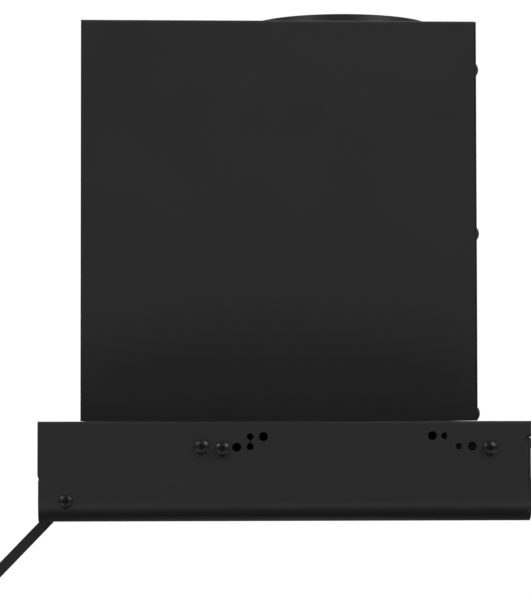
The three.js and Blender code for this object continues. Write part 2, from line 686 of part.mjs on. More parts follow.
add('visor_frame', visorFrame(), PAINT, 0.5, 0.3);
add('visor_glass', visorGlass(), 0x59626a, 0.1, 0);
add('motor_housing', motorHousing(), PAINT, 0.55, 0.3);
add('rear_cover', rearCover(), PAINT, 0.55, 0.3);
add('scroll_band', scrollBand(), STEEL, 0.4, 0.9);
add('scroll_side_right', scrollSide(1), STEEL, 0.4, 0.9);
add('scroll_side_left', scrollSide(-1), STEEL, 0.4, 0.9);
add('impeller', impeller(), STEEL, 0.4, 0.9);
add('motor_shaft', rodX(SHAFT_R, -82, 13, BLOWER_Y, BLOWER_Z, 24), STEEL, 0.25, 1);
add('motor_body', motorBody(), 0x8a8d90, 0.5, 0.8);
add('motor_bracket', motorBracket(), STEEL, 0.4, 0.9);
add('outlet_collar', outletCollar(), PLASTIC, 0.6, 0);
add('damper_flap_front', damperFlap(-1), PLASTIC, 0.6, 0);
add('damper_flap_rear', damperFlap(1), PLASTIC, 0.6, 0);
add('capacitor', rodZ(14.5, 78, 132, 110, -107, 24), 0xd8d9d6, 0.4, 0);
add('junction_box', junctionBox(), PLASTIC, 0.6, 0);
add('junction_lid', junctionLid(), PLASTIC, 0.6, 0);
add('cable_gland', cableGland(), 0x1b1c1e, 0.6, 0);
add('terminal_block', terminalBlock(), 0xe6e4da, 0.5, 0);

export default hood;
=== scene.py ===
import json
import math

import bmesh
import bpy
from mathutils import Matrix, Vector


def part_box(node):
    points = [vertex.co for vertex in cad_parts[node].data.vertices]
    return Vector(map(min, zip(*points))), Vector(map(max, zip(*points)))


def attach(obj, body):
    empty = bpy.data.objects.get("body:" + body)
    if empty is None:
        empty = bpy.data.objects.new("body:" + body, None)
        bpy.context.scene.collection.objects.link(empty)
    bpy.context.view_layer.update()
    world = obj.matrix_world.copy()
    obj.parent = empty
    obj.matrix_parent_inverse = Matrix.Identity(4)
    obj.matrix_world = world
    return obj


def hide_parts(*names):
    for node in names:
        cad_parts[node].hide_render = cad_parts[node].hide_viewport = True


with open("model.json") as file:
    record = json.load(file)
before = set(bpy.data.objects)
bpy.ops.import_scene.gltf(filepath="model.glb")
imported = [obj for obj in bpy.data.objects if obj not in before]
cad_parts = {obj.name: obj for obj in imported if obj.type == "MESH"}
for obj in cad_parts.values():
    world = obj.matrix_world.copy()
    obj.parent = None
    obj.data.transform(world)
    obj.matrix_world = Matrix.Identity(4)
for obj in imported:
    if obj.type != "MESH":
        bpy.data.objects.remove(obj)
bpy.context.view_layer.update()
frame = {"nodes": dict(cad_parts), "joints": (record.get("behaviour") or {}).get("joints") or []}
scene = bpy.context.scene
scene.view_settings.view_transform = "Standard"
scene.view_settings.look = "None"
MM = 0.001
SIDES = ("right", "left")

# Camera: lens as a focal length in units of 1/600 of the picture's height, angles in degrees.
FRAME_HEIGHT = 600.0
FOCAL = 2842.0
SENSOR = 36.0
CAMERA_PLACE = (1.960, -0.0875, 0.0580)
CAMERA_YAW, CAMERA_PITCH, CAMERA_ROLL = -2.55, 2.51, -0.09

# Stage: what the camera sees is plain white, and the glows are what lights the object.
WHITE = 1.02
FLOOR_Z = -0.2
FLOOR_HALF = 14.0
RING_DARK = 0.02
RING_IN, RING_OUT, RING_GLOW, RING_TAIL = (0.52, 0.64), (0.85, 1.15), 1.34, 0.04
FAR_FLOOR, FAR_GLOW = (1.6, 2.0), 0.35
UNDER_FLOOR, UNDER_GLOW = (0.12, 0.24), 0.3
SKY_TINT = (0.97, 0.98, 1, 1)
SKY_GLOW, ZENITH_GLOW, ZENITH_BAND = 0.01, 0.16, (0.55, 0.85)
BACKDROP_GLOW, BACKDROP_BAND = 1.0, (-0.25, -0.7)
SOFTBOX_HEIGHT, SOFTBOX_AIM = 1.6, (0, 0, 0.1)
SOFTBOXES = (   # name, x, y, watts, size
    ("right_softbox", 1.2, 1.5, 21, 0.6),
    ("left_softbox", 1.2, -1.5, 17, 0.6),
    ("far_right_softbox", -1.2, 1.5, 10, 1.4),
    ("far_left_softbox", -1.2, -1.5, 10, 1.4),
)

# Edges: what counts as one, how far it is rounded, and how far its wear reaches.
CREASE_DEG = 32
ROUND_SHEET, ROUND_EDGE, ROUND_MOULDING = 0.4 * MM, 0.5 * MM, 0.3 * MM
ROUND_MOTOR, ROUND_CAN = 0.6 * MM, 1 * MM
WELD_DISTANCE = 0.002 * MM
WEAR_RADIUS = 0.9 * MM

# Screws of the CAD model: head height and shank radius of each kind, turns of the recess.
SCREW_HEAD = {"pivot": (2.2 * MM, 2.0 * MM), "side": (2.4 * MM, 1.9 * MM),
              "cover": (2.4 * MM, 1.6 * MM)}
SCREW_TURN = (12, 38, 71, 104, 151, 23, 59)
THREAD_PITCH, THREAD_ROOT = 0.7 * MM, 0.82
# Added screws: head radius, head height, shank radius and shank length.
FLANGE_SCREW = (3.0 * MM, 1.9 * MM, 1.4 * MM, 6 * MM)
LID_SCREW, LID_SCREW_INSET = (2.6 * MM, 1.5 * MM, 1.2 * MM, 3 * MM), 6.5 * MM

# Outlet collar and the pins of its flaps.
COLLAR_TUBE_R, COLLAR_BORE_R, COLLAR_FLANGE_R = 62.5 * MM, 60.5 * MM, 69 * MM
COLLAR_LEDGE_R, COLLAR_SCREW_R = 58 * MM, 65.9 * MM
FLAP_PIN_R, FLAP_PIN_Y = 1.35 * MM, 3.6 * MM

# Push-buttons: face, flange, corner radii, soft shoulder and raised pips.
KEY_W, KEY_H, KEY_R = 12 * MM, 6 * MM, 1.4 * MM
KEY_FLANGE_W, KEY_FLANGE_H, KEY_FLANGE_R, KEY_FLANGE_T = 14.4 * MM, 8.2 * MM, 0.6 * MM, 1 * MM
KEY_SHOULDER = 0.9 * MM
PIP_R, PIP_PITCH = 0.5 * MM, 1.7 * MM

# Lamp lens and filter face.
LENS_EDGE, LENS_RINGS = 0.9 * MM, 9
CELL_X, CELL_Y, STRAND_W, STRAND_T = 10.5 * MM, 6.2 * MM, 0.8 * MM, 0.35 * MM

# Cable gland.
GLAND_BORE, NUT_R = 4 * MM, 8.8 * MM

# Visor, in its own level layout: opening angle, extent and top face of the pane, trim on it.
VISOR_OPEN_DEG = 134.0
PANE_Y0, PANE_Y1, PANE_HALF, PANE_TOP = 24.8 * MM, 243.2 * MM, 224.7 * MM, 3.01 * MM
BORDER_W, BORDER_T = 9 * MM, 0.06 * MM
STOP_X, STOP_Y, STOP_Z = 236 * MM, 254 * MM, 3.2 * MM


# ---------- camera ----------
def make_camera():
    """Camera at the object's right-hand side, from a place and three turns."""
    data = bpy.data.cameras.new("side_camera")
    data.sensor_width = SENSOR
    data.lens = SENSOR * FOCAL / FRAME_HEIGHT
    data.clip_start, data.clip_end = 0.05, 60.0
    cam = bpy.data.objects.new("side_camera", data)
    scene.collection.objects.link(cam)
    pitch, roll = math.radians(CAMERA_PITCH), math.radians(CAMERA_ROLL)
    base = Matrix(((0, 1, 0), (0, 0, 1), (1, 0, 0)))
    turn = Matrix.Rotation(math.radians(CAMERA_YAW), 3, "Z")
    cp, sp, cr, sr = math.cos(pitch), math.sin(pitch), math.cos(roll), math.sin(roll)
    tilt = Matrix(((1, 0, 0), (0, cp, sp), (0, -sp, cp)))
    bank = Matrix(((cr, sr, 0), (-sr, cr, 0), (0, 0, 1)))
    rows = bank @ tilt @ base @ turn.transposed()
    cam.matrix_world = Matrix.Translation(CAMERA_PLACE) @ rows.transposed().to_4x4()
    scene.camera = cam


# ---------- light and stage ----------
def softbox(name, x, y, power, size):
    """Square area light at the common height, aimed at the object."""
    data = bpy.data.lights.new(name, "AREA")
    data.shape, data.size, data.energy = "SQUARE", size, power
    lamp = bpy.data.objects.new(name, data)
    scene.collection.objects.link(lamp)
    lamp.location = (x, y, SOFTBOX_HEIGHT)
    way = Vector(SOFTBOX_AIM) - lamp.location
    lamp.rotation_euler = way.to_track_quat("-Z", "Y").to_euler()


def camera_switch(t, seen, other):
    """Shader that shows one socket to the camera and the other to every other ray."""
    path = t.nodes.new("ShaderNodeLightPath")
    mix = t.nodes.new("ShaderNodeMixShader")
    t.links.new(path.outputs["Is Camera Ray"], mix.inputs[0])
    t.links.new(other, mix.inputs[1])
    t.links.new(seen, mix.inputs[2])
    return mix.outputs[0]


def make_floor():
    """White paper, clear from below; towards the object it gives a ring of bounce light."""
    bm = bmesh.new()
    bmesh.ops.create_grid(bm, x_segments=2, y_segments=2, size=FLOOR_HALF)
    floor = mesh_object("floor", bm)
    floor.location = (0, 0, FLOOR_Z)
    mat = bpy.data.materials.new("floor_paper")
    mat.use_nodes = True
    t = mat.node_tree
    t.nodes.clear()
    coord = t.nodes.new("ShaderNodeTexCoord")
    reach = t.nodes.new("ShaderNodeVectorMath")
    reach.operation = "LENGTH"
    t.links.new(coord.outputs["Object"], reach.inputs[0])
    white = t.nodes.new("ShaderNodeEmission")
    white.inputs["Strength"].default_value = WHITE
    bounce = t.nodes.new("ShaderNodeEmission")
    away = reach.outputs["Value"]
    near = ramp(t, away, *RING_IN, RING_DARK, RING_GLOW)
    ring = times(t, near, ramp(t, away, *RING_OUT, 1.0, RING_TAIL), clamp=False)
    outer = ramp(t, away, *FAR_FLOOR, 0.0, FAR_GLOW)
    below = ramp(t, away, *UNDER_FLOOR, UNDER_GLOW, 0.0)
    t.links.new(plus(t, plus(t, ring, outer), below), bounce.inputs["Strength"])
    clear = t.nodes.new("ShaderNodeBsdfTransparent")
    sides = t.nodes.new("ShaderNodeMixShader")
    t.links.new(t.nodes.new("ShaderNodeNewGeometry").outputs["Backfacing"], sides.inputs[0])
    t.links.new(camera_switch(t, white.outputs[0], bounce.outputs[0]), sides.inputs[1])
    t.links.new(clear.outputs[0], sides.inputs[2])
    end = t.nodes.new("ShaderNodeOutputMaterial")
    t.links.new(sides.outputs[0], end.inputs[0])
    floor.data.materials.append(mat)


def make_world():
    """White to the camera; otherwise a soft light from above and from behind the object."""
    world = bpy.data.worlds.new("studio")
    scene.world = world
    world.use_nodes = True
    t = world.node_tree
    t.nodes.clear()
    seen = t.nodes.new("ShaderNodeBackground")
    lit = t.nodes.new("ShaderNodeBackground")
    end = t.nodes.new("ShaderNodeOutputWorld")
    seen.inputs["Color"].default_value = (1, 1, 1, 1)
    seen.inputs["Strength"].default_value = WHITE
    lit.inputs["Color"].default_value = SKY_TINT
    way = t.nodes.new("ShaderNodeSeparateXYZ")
    t.links.new(t.nodes.new("ShaderNodeTexCoord").outputs["Generated"], way.inputs[0])
    zenith = ramp(t, way.outputs["Z"], *ZENITH_BAND, SKY_GLOW, ZENITH_GLOW)
    backdrop = ramp(t, way.outputs["X"], *BACKDROP_BAND, 0.0, BACKDROP_GLOW)
    t.links.new(plus(t, zenith, backdrop), lit.inputs["Strength"])
    t.links.new(camera_switch(t, seen.outputs[0], lit.outputs[0]), end.inputs[0])


def make_stage():
    make_floor()
    make_world()
    for lamp in SOFTBOXES:
        softbox(*lamp)


# ---------- node helpers ----------
def material(name):
    """New material: itself, its node tree and its principled shader."""
    mat = bpy.data.materials.new(name)
    mat.use_nodes = True
    t = mat.node_tree
    t.nodes.clear()
    bsdf = t.nodes.new("ShaderNodeBsdfPrincipled")
    out = t.nodes.new("ShaderNodeOutputMaterial")
    t.links.new(bsdf.outputs[0], out.inputs[0])
    return mat, t, bsdf


def noise(t, scale, detail=3.0, rough=0.5, stretch=(1, 1, 1)):
    """Noise in object space; scale is per metre."""
    coord = t.nodes.new("ShaderNodeTexCoord")
    place = t.nodes.new("ShaderNodeMapping")
    place.inputs["Scale"].default_value = stretch
    tex = t.nodes.new("ShaderNodeTexNoise")
    tex.inputs["Scale"].default_value = scale
    tex.inputs["Detail"].default_value = detail
    tex.inputs["Roughness"].default_value = rough
    t.links.new(coord.outputs["Object"], place.inputs["Vector"])
    t.links.new(place.outputs[0], tex.inputs["Vector"])
    return tex.outputs["Fac"]


def ramp(t, value, low, high, a, b):
    """Maps value from low..high to a..b."""
    node = t.nodes.new("ShaderNodeMapRange")
    node.inputs["From Min"].default_value = low
    node.inputs["From Max"].default_value = high
    node.inputs["To Min"].default_value = a
    node.inputs["To Max"].default_value = b
    t.links.new(value, node.inputs["Value"])
    return node.outputs[0]


def blend_colour(t, fac, a, b):
    """Colour between a and b, both plain."""
    node = t.nodes.new("ShaderNodeMix")
    node.data_type = "RGBA"
    node.inputs["A"].default_value = (*a, 1)
    node.inputs["B"].default_value = (*b, 1)
    t.links.new(fac, node.inputs["Factor"])
    return node.outputs["Result"]


def bump(t, bsdf, layers):
    """Stacks bump layers, each a height socket and a distance in metres."""
    last = None
    for height, distance in layers:
        node = t.nodes.new("ShaderNodeBump")
        node.inputs["Strength"].default_value = 1.0
        node.inputs["Distance"].default_value = distance
        t.links.new(height, node.inputs["Height"])
        if last is not None:
            t.links.new(last, node.inputs["Normal"])
        last = node.outputs[0]
    t.links.new(last, bsdf.inputs["Normal"])


def edge_wear(t, radius):
    """0 on flats, towards 1 on outer and inner edges, from rounded against true normals."""
    soft = t.nodes.new("ShaderNodeBevel")
    soft.samples = 4
    soft.inputs["Radius"].default_value = radius
    geo = t.nodes.new("ShaderNodeNewGeometry")
    dot = t.nodes.new("ShaderNodeVectorMath")
    dot.operation = "DOT_PRODUCT"
    t.links.new(soft.outputs[0], dot.inputs[0])
    t.links.new(geo.outputs["Normal"], dot.inputs[1])
    return ramp(t, dot.outputs["Value"], 0.995, 0.86, 0.0, 1.0)


def plus(t, a, b):
    """Sum of two sockets."""
    node = t.nodes.new("ShaderNodeMath")
    t.links.new(a, node.inputs[0])
    t.links.new(b, node.inputs[1])
    return node.outputs[0]


def times(t, a, b, clamp=True):
    """Product of two sockets, kept to 0..1 unless clamp is off."""
    node = t.nodes.new("ShaderNodeMath")
    node.operation = "MULTIPLY"
    node.use_clamp = clamp
    t.links.new(a, node.inputs[0])
    t.links.new(b, node.inputs[1])
    return node.outputs[0]


# ---------- materials ----------
def powder_coat(name, base, rough=0.46, spec=0.42):
    """Satin paint: slight clouds of tone, orange peel with a fine grain, paler worn edges."""
    mat, t, b = material(name)
    cloud = noise(t, 9.0, 4.0, 0.6)
    dark, light = [c * 0.96 for c in base], [c * 1.04 for c in base]
    body = blend_colour(t, ramp(t, cloud, 0.35, 0.65, 0, 1), dark, light)
    patchy = ramp(t, noise(t, 160.0, 5.0, 0.7), 0.42, 0.68, 0.15, 1.0)
    worn = times(t, edge_wear(t, WEAR_RADIUS), patchy)
    mix = t.nodes.new("ShaderNodeMix")
    mix.data_type = "RGBA"
    mix.inputs["B"].default_value = (*[min(c * 2.4 + 0.01, 1) for c in base], 1)
    t.links.new(worn, mix.inputs["Factor"])
    t.links.new(body, mix.inputs["A"])
    t.links.new(mix.outputs["Result"], b.inputs["Base Color"])
    handled = noise(t, 26.0, 6.0, 0.65)
    t.links.new(ramp(t, handled, 0.3, 0.7, rough - 0.02, rough + 0.03), b.inputs["Roughness"])
    b.inputs["Specular IOR Level"].default_value = spec
    bump(t, b, [(noise(t, 420.0, 2.0, 0.5), 0.00006), (noise(t, 2600.0, 2.0, 0.6), 0.000018)])
    return mat


def metal(name, base, rough, stretch=(1, 1, 1), grain=900.0, depth=0.00001, tint=None):
    """Bare or plated metal with clouds of a second tone and a grain that may be drawn out."""
    mat, t, b = material(name)
    cloud = noise(t, 35.0, 4.0, 0.6)
    second = tint or [c * 0.86 for c in base]
    tone = blend_colour(t, ramp(t, cloud, 0.35, 0.68, 0, 1), base, second)
    t.links.new(tone, b.inputs["Base Color"])
    b.inputs["Metallic"].default_value = 1.0
    grainy = noise(t, grain, 3.0, 0.6, stretch)
    t.links.new(ramp(t, grainy, 0.3, 0.7, rough - 0.07, rough + 0.09), b.inputs["Roughness"])
    bump(t, b, [(grainy, depth)])
    return mat


def plastic(name, base, rough, grain=1500.0, depth=0.00002, spec=0.5):
    """Moulded plastic, rubber or enamel with a fine moulded texture."""
    mat, t, b = material(name)
    cloud = noise(t, 60.0, 3.0, 0.5)
    tone = blend_colour(t, ramp(t, cloud, 0.35, 0.65, 0, 1), [c * 0.92 for c in base], base)
    t.links.new(tone, b.inputs["Base Color"])
    handled = noise(t, 240.0, 4.0, 0.6)
    t.links.new(ramp(t, handled, 0.3, 0.7, rough - 0.04, rough + 0.06), b.inputs["Roughness"])
    b.inputs["Specular IOR Level"].default_value = spec
    bump(t, b, [(noise(t, grain, 2.0, 0.6), depth)])
    return mat


def galvanised(name):
    """Hot-dipped zinc: crystals of differing tone and gloss."""
    mat, t, b = material(name)
    coord = t.nodes.new("ShaderNodeTexCoord")
    cells = t.nodes.new("ShaderNodeTexVoronoi")
    cells.inputs["Scale"].default_value = 140.0
    t.links.new(coord.outputs["Object"], cells.inputs["Vector"])
    split = t.nodes.new("ShaderNodeSeparateColor")
    t.links.new(cells.outputs["Color"], split.inputs[0])
    tone = blend_colour(t, split.outputs[0], (0.42, 0.44, 0.45), (0.62, 0.64, 0.65))
    t.links.new(tone, b.inputs["Base Color"])
    b.inputs["Metallic"].default_value = 1.0
    t.links.new(ramp(t, split.outputs[1], 0, 1, 0.3, 0.5), b.inputs["Roughness"])
    bump(t, b, [(noise(t, 900.0), 0.00001)])
    return mat


def smoked_glass(name):
    """Dark pane with a satin sheen; what lies behind shows only faintly."""
    mat, t, b = material(name)
    b.inputs["Base Color"].default_value = (0.012, 0.0135, 0.0145, 1)
    b.inputs["Alpha"].default_value = 0.82
    b.inputs["IOR"].default_value = 1.5
    b.inputs["Specular IOR Level"].default_value = 0.25
    t.links.new(ramp(t, noise(t, 20.0, 5.0, 0.7), 0.4, 0.8, 0.17, 0.24), b.inputs["Roughness"])
    return mat


def frosted(name):
    """Milky lens that scatters a little light."""
    mat, t, b = material(name)
    b.inputs["Base Color"].default_value = (0.86, 0.86, 0.83, 1)
    b.inputs["Subsurface Weight"].default_value = 0.2
    b.inputs["Subsurface Scale"].default_value = 0.002
    t.links.new(ramp(t, noise(t, 400.0), 0.3, 0.7, 0.28, 0.4), b.inputs["Roughness"])
    bump(t, b, [(noise(t, 1800.0), 0.00002)])
    return mat


# ---------- mesh helpers ----------
def mesh_object(name, bm, smooth=True):
    """Object made from a bmesh, with its normals turned outwards."""
    mesh = bpy.data.meshes.new(name)
    bmesh.ops.recalc_face_normals(bm, faces=bm.faces)
    bm.to_mesh(mesh)
    bm.free()
    for p in mesh.polygons:
        p.use_smooth = smooth
    obj = bpy.data.objects.new(name, mesh)
    scene.collection.objects.link(obj)
    return obj


def sharpen(mesh, degrees):
    """Marks edges sharper than the angle, so that smooth shading stops there."""
    bm = bmesh.new()
    bm.from_mesh(mesh)
    limit = math.radians(degrees)
    marks = [e.calc_face_angle(0.0) > limit for e in bm.edges]
    bm.free()
    layer = mesh.attributes.get("sharp_edge")
    layer = layer or mesh.attributes.new("sharp_edge", "BOOLEAN", "EDGE")
    layer.data.foreach_set("value", marks)
    for p in mesh.polygons:
        p.use_smooth = True


def bevel(obj, width, segments=2):
    """Rounds the creased edges and keeps the flats between them shading flat."""
    mod = obj.modifiers.new("round_edges", "BEVEL")
    mod.width, mod.segments = width, segments
    mod.limit_method, mod.angle_limit = "ANGLE", math.radians(CREASE_DEG)
    mod.miter_outer = "MITER_ARC"
    mod.use_clamp_overlap = True
    mod.face_strength_mode = "FSTR_AFFECTED"
    even = obj.modifiers.new("even_normals", "WEIGHTED_NORMAL")
    even.mode, even.keep_sharp, even.weight = "FACE_AREA", True, 100
    even.use_face_influence = True


def dress(mat, width, *nodes):
    """Gives CAD nodes their finish; a width rounds their edges, once triangles share corners."""
    for node in nodes:
        obj = frame["nodes"][node]
        obj.data.materials.clear()
        obj.data.materials.append(mat)
        sharpen(obj.data, CREASE_DEG)
        if width:
            weld = obj.modifiers.new("weld", "WELD")
            weld.merge_threshold = WELD_DISTANCE
            bevel(obj, width)


def finish_piece(obj, mat, body, replaces=()):
    """Gives a new piece its material and body, and hides the CAD nodes that it stands for."""
    obj.data.materials.clear()
    obj.data.materials.append(mat)
    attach(obj, body)
    if replaces:
        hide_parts(*replaces)


def copy_of(shape, name):
    """New object with its own copy of a shape's mesh."""
    obj = bpy.data.objects.new(name, shape.data.copy())
    scene.collection.objects.link(obj)
    return obj


def loft(name, rings, close_ends=True):
    """Skin over closed rings of points; every ring has the same number of points."""
    bm = bmesh.new()
    loops = [[bm.verts.new(p) for p in ring] for ring in rings]
    count = len(rings[0])
    for a, b in zip(loops, loops[1:]):
        for i in range(count):
            j = (i + 1) % count
            bm.faces.new((a[i], a[j], b[j], b[i]))
    if close_ends:
        bm.faces.new(loops[0])
        bm.faces.new(loops[-1])
    return mesh_object(name, bm)


def lathe(name, profile, steps=96, shape=None, closed=False):
    """Turns a (radius, z) profile about +Z; shape(angle) scales the radius."""
    bm = bmesh.new()
    rings = []
    for i in range(steps):
        a = 2 * math.pi * i / steps
        k = shape(a) if shape else 1.0
        x, y = k * math.cos(a), k * math.sin(a)
        rings.append([bm.verts.new((r * x, r * y, z)) for r, z in profile])
    count = len(profile)
    for i in range(steps):
        a, b = rings[i], rings[(i + 1) % steps]
        for k in range(count if closed else count - 1):
            j = (k + 1) % count
            bm.faces.new((a[k], b[k], b[j], a[j]))
    bmesh.ops.remove_doubles(bm, verts=bm.verts, dist=1e-7)
    bmesh.ops.dissolve_degenerate(bm, edges=bm.edges, dist=1e-8)
    return mesh_object(name, bm)


def arc(cx, cz, r, start, end, steps=6):
    """Points of an arc in the (radius, z) plane, angles in degrees."""
    out = []
    for i in range(steps + 1):
        a = math.radians(start + (end - start) * i / steps)
        out.append((cx + r * math.cos(a), cz + r * math.sin(a)))
    return out


def round_rect(w, h, r, steps=6):
    """Anticlockwise outline of a rounded rectangle about the origin."""
    out = []
    for sx, sy, start in ((1, 1, 0), (-1, 1, 90), (-1, -1, 180), (1, -1, 270)):
        for i in range(steps + 1):
            a = math.radians(start + 90 * i / steps)
            x, y = sx * (w / 2 - r), sy * (h / 2 - r)
            out.append((x + r * math.cos(a), y + r * math.sin(a)))
    return out


def block(name, lo, hi):
    """Box between two corners."""
    bm = bmesh.new()
    bmesh.ops.create_cube(bm, size=1.0)
    lo, hi = Vector(lo), Vector(hi)
    for v in bm.verts:
        v.co = Vector([(lo[k] + hi[k]) / 2 + v.co[k] * (hi[k] - lo[k]) for k in range(3)])
    return mesh_object(name, bm, smooth=False)


def combine(obj, others, operation):
    """Applies obj's modifiers and a boolean with each of the others, which are removed."""
    for other in others:
        mod = obj.modifiers.new("combine", "BOOLEAN")
        mod.operation, mod.object, mod.solver = operation, other, "EXACT"
        mod.use_self = True
    graph = bpy.context.evaluated_depsgraph_get()
    graph.update()
    mesh = bpy.data.meshes.new_from_object(obj.evaluated_get(graph))
    obj.modifiers.clear()
    obj.data = mesh
    for other in others:
        bpy.data.objects.remove(other)


def axis_frame(direction, place):
    """Matrix that takes +Z to the direction and the origin to the place."""
    turn = Vector(direction).to_track_quat("Z", "Y").to_matrix().to_4x4()
    return Matrix.Translation(place) @ turn


def settle(obj, matrix):
    """Bakes a placement into the mesh, so that the object itself stays at the origin."""
    obj.data.transform(matrix)


def place_of(node):
    """Centre, lowest and highest corner of a CAD node."""
    lo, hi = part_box(node)
    return (lo + hi) / 2, lo, hi


# ---------- pieces ----------
def screw_mesh(name, head_r, head_h, shank_r, shank_l):
    """Pan head with a cross recess, head underside at z = 0, thread below."""
    root = shank_r * THREAD_ROOT
    profile = [(0, -shank_l), (shank_r * 0.55, -shank_l)]
    turns = int((shank_l - 0.0008) / THREAD_PITCH)
    for i in range(turns):
        z = -shank_l + 0.0004 + i * THREAD_PITCH
        profile += [(root, z), (shank_r, z + THREAD_PITCH / 2)]
    profile += [(root, -0.0003), (root, 0), (head_r - 0.0002, 0), (head_r, 0.0002)]
    crown = head_h * 0.58
    ball = (head_r ** 2 + crown ** 2) / (2 * crown)
    for i in range(10):
        r = head_r * (1 - (i / 9) ** 1.5)
        profile.append((r, head_h - ball + math.sqrt(ball ** 2 - r ** 2)))
    body = lathe(name, profile, 40)
    cutters = []
    deep, top = head_h * 0.4, head_h + 0.0004
    reach, width = head_r * 0.5, head_r * 0.105
    for k in range(2):
        arm = Matrix.Rotation(math.pi * k / 2 + math.pi / 4, 3, "Z")
        rings = []
        for z, grow in ((deep, 0.45), (top, 1.0)):
            a, b = reach * grow, width * (0.6 + 0.4 * grow)
            ring = [(a, b, z), (-a, b, z), (-a, -b, z), (a, -b, z)]
            rings.append([arm @ Vector(p) for p in ring])
        cutters.append(loft("cutter", rings))
    combine(body, cutters, "DIFFERENCE")
    sharpen(body.data, 35)
    return body


def make_screws():
    """Every CAD screw gets a threaded, cross-recessed one of the same size."""
    kinds = {}
    for node in sorted(NODES):
        if "screw" not in node:
            continue
        centre, lo, hi = place_of(node)
        size = hi - lo
        kind = node.split("_")[0]
        long_axis = 1 if kind == "cover" else max(range(3), key=lambda k: size[k])
        out = Vector((0, 0, 0))
        out[long_axis] = 1.0 if centre[long_axis] > 0 else -1.0
        across = (long_axis + 1) % 3
        head_r = size[across] / 2
        head_h, shank_r = SCREW_HEAD[kind]
        if kind not in kinds:
            length = size[long_axis] - head_h
            kinds[kind] = screw_mesh(kind + "_screw_shape", head_r, head_h, shank_r, length)
        tip = hi[long_axis] if out[long_axis] > 0 else lo[long_axis]
        foot = centre.copy()
        foot[long_axis] = tip - out[long_axis] * head_h
        piece = copy_of(kinds[kind], node + "_fine")
        degrees = SCREW_TURN[sum(map(ord, node)) % len(SCREW_TURN)]
        turn = Matrix.Rotation(math.radians(degrees), 4, "Z")
        settle(piece, axis_frame(out, foot) @ turn)
        finish_piece(piece, BLACK_ZINC, "hood", [node])
    for shape in kinds.values():
        bpy.data.objects.remove(shape)


def make_collar():
    """Duct spigot: smooth tube with a rounded rim, flange, stop ledge, centre bar and pin holes."""
    centre, lo, hi = place_of("outlet_collar")
    hinge_z = place_of("damper_flap_rear")[0].z
    tube_r, bore_r, flange_r = COLLAR_TUBE_R, COLLAR_BORE_R, COLLAR_FLANGE_R
    flange_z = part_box("motor_housing")[1].z + 0.3 * MM
    top, foot = hi.z, lo.z
    ledge = hinge_z - 2 * MM
    profile = [(bore_r, foot), (tube_r, foot), (tube_r, flange_z)]
    profile += [(flange_r - 0.5 * MM, flange_z)]
    profile += arc(flange_r - 0.5 * MM, flange_z + 1.1 * MM, 0.5 * MM, 0, 90, 4)
    profile += arc(tube_r + 2.2 * MM, flange_z + 3.4 * MM, 1.8 * MM, -90, -180, 6)[1:]
    profile += [(tube_r, flange_z + 4.2 * MM)]
    profile += arc(tube_r - 0.6 * MM, top - 0.6 * MM, 0.6 * MM, 0, 90, 4)
    profile += arc(bore_r + 0.6 * MM, top - 0.6 * MM, 0.6 * MM, 90, 180, 4)
    profile += [(bore_r, ledge), (COLLAR_LEDGE_R, ledge), (COLLAR_LEDGE_R, ledge - 2 * MM),
                (bore_r, ledge - 4 * MM)]
    collar = lathe("outlet_collar_fine", profile, 144, closed=True)
    bar = block("bar", (-bore_r - 1 * MM, -1.4 * MM, ledge - 3 * MM),
                (bore_r + 1 * MM, 1.4 * MM, ledge + 5 * MM))
    bevel(bar, 0.6 * MM, 3)
    combine(bar, [], "UNION")   # only makes the rounded edges real
    combine(collar, [bar], "UNION")
    holes = []
    half = 70 * MM
    for s in (-1, 1):
        pin = lathe("pin", [(0, -half), (FLAP_PIN_R, -half), (FLAP_PIN_R, half), (0, half)], 20)
        settle(pin, axis_frame((1, 0, 0), (0, s * FLAP_PIN_Y, hinge_z)))
        holes.append(pin)
    combine(collar, holes, "DIFFERENCE")
    sharpen(collar.data, 30)
    settle(collar, Matrix.Translation((0, centre.y, 0)))
    finish_piece(collar, PLASTIC, "hood", ["outlet_collar"])
    shape = screw_mesh("flange_screw_shape", *FLANGE_SCREW)
    for i in range(4):
        a = math.radians(45 + 90 * i)
        x, y = COLLAR_SCREW_R * math.cos(a), centre.y + COLLAR_SCREW_R * math.sin(a)
        piece = copy_of(shape, f"flange_screw_{i + 1}")
        turn = Matrix.Rotation(0.4 + 1.1 * i, 4, "Z")
        settle(piece, Matrix.Translation((x, y, flange_z + 1.55 * MM)) @ turn)
        finish_piece(piece, BLACK_ZINC, "hood")
    bpy.data.objects.remove(shape)


def make_lenses():
    """Lamp lens with concentric optic rings and a soft edge."""
    for side in SIDES:
        centre, lo, hi = place_of("lamp_lens_" + side)
        r, height = (hi.x - lo.x) / 2, hi.z - lo.z
        profile = [(0, height), (r, height), (r, LENS_EDGE)]
        profile += arc(r - LENS_EDGE, LENS_EDGE, LENS_EDGE, 0, -90, 5)
        outer = r - 1.6 * MM
        step = outer / LENS_RINGS
        for i in range(LENS_RINGS):
            start = outer - i * step
            profile += [(start, 0.05 * MM), (start - 0.15 * MM, 0.5 * MM),
                        (start - step + 0.1 * MM, 0.12 * MM)]
        profile += [(0, 0.12 * MM)]
        lens = lathe(f"lamp_lens_{side}_fine", profile, 96)
        sharpen(lens.data, 20)
        settle(lens, Matrix.Translation((centre.x, centre.y, lo.z)))
        finish_piece(lens, LENS, "hood", ["lamp_lens_" + side])


